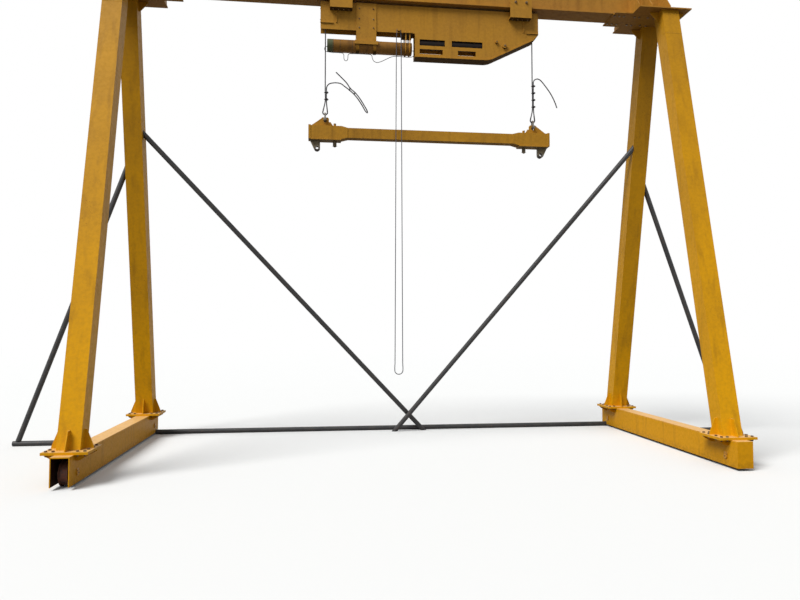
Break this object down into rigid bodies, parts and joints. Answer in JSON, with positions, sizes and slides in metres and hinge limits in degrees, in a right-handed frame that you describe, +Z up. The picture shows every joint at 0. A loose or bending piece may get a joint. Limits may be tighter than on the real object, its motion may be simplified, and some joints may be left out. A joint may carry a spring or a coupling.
{
  "type": "gantry crane",
  "caption": "Gantry crane: one box girder on two A-shaped leg frames with railed end carriages, a hoist trolley under the girder, and a spreader beam on ropes.",
  "frame": {"origin": "middle of the crane at the level of the wheels' lowest point, which is the floor", "axes": "+X along the girder to the right as the picture sees it, +Y along the rails away from the camera, +Z up"},
  "size_m": [10.52, 3.56, 6.546],
  "materials": {
    "yellow_paint": "weathered satin paint over welded plate",
    "wheel_iron": "rough cast iron with surface rust",
    "axle_steel": "turned steel, lightly greased",
    "black_pipe": "black painted pipe",
    "wire_rope": "greased wire rope",
    "dark_primer": "dark red primer",
    "cable_black": "rubber cable sheath",
    "hand_cord": "laid cord, dirty grey"
  },
  "bodies": {
    "frame": {"carriage_left_inner": "yellow_paint", "carriage_left_outer": "yellow_paint", "carriage_left_top": "yellow_paint", "carriage_right_inner": "yellow_paint", "carriage_right_outer": "yellow_paint", "carriage_right_top": "yellow_paint", "axles_left": "axle_steel", "axles_right": "axle_steel", "leg_left_near": "yellow_paint", "leg_left_far": "yellow_paint", "leg_right_near": "yellow_paint", "leg_right_far": "yellow_paint", "head_plate_left": "yellow_paint", "head_plate_right": "yellow_paint", "girder_bottom_flange": "yellow_paint", "girder_web_near": "yellow_paint", "girder_web_far": "yellow_paint", "girder_top_flange": "yellow_paint", "girder_end_left": "yellow_paint", "girder_end_right": "yellow_paint", "brace_inner_left": "black_pipe", "brace_inner_right": "black_pipe", "brace_outer_left": "black_pipe", "brace_outer_right": "black_pipe", "ground_tie": "black_pipe", "foot_tie_left": "black_pipe", "foot_tie_right": "black_pipe"},
    "trolley": {"trolley_side_near": "yellow_paint", "trolley_side_far": "yellow_paint", "trolley_frame_ties": "yellow_paint", "bogie_left": "yellow_paint", "bogie_right": "yellow_paint", "rope_drum": "dark_primer", "hanging_tube": "yellow_paint", "tube_hanger": "yellow_paint", "tube_clamps": "yellow_paint", "hand_line": "hand_cord", "power_lead": "cable_black", "rope_left": "wire_rope", "rope_right": "wire_rope"},
    "spreader": {"spreader_beam": "yellow_paint", "spreader_end_left": "yellow_paint", "spreader_end_right": "yellow_paint", "shackle_left": "axle_steel", "shackle_right": "axle_steel", "rope_eye_left": "wire_rope", "rope_eye_right": "wire_rope", "rope_tail_left": "wire_rope", "rope_tail_right": "wire_rope"},
    "travel_wheel_left_near": {"wheel_left_near": "wheel_iron"},
    "travel_wheel_left_far": {"wheel_left_far": "wheel_iron"},
    "travel_wheel_right_near": {"wheel_right_near": "wheel_iron"},
    "travel_wheel_right_far": {"wheel_right_far": "wheel_iron"}
  },
  "joints": [
    {"name": "trolley_travel", "type": "slide", "parent": "frame", "child": "trolley", "axis": [1, 0, 0], "range_m": [-1.9, 1.15]},
    {"name": "hoist", "type": "slide", "parent": "trolley", "child": "spreader", "axis": [0, 0, 1], "range_m": [-3.3, 0.4], "deforming": ["rope_left", "rope_right"]},
    {"name": "roll_left_near", "type": "hinge", "parent": "frame", "child": "travel_wheel_left_near", "pos_m": [-3.67, -1.565, 0.134], "axis": [1, 0, 0], "continuous": true},
    {"name": "roll_left_far", "type": "hinge", "parent": "frame", "child": "travel_wheel_left_far", "pos_m": [-3.67, 1.565, 0.134], "axis": [1, 0, 0], "continuous": true},
    {"name": "roll_right_near", "type": "hinge", "parent": "frame", "child": "travel_wheel_right_near", "pos_m": [3.67, -1.565, 0.134], "axis": [1, 0, 0], "continuous": true},
    {"name": "roll_right_far", "type": "hinge", "parent": "frame", "child": "travel_wheel_right_far", "pos_m": [3.67, 1.565, 0.134], "axis": [1, 0, 0], "continuous": true}
  ]
}
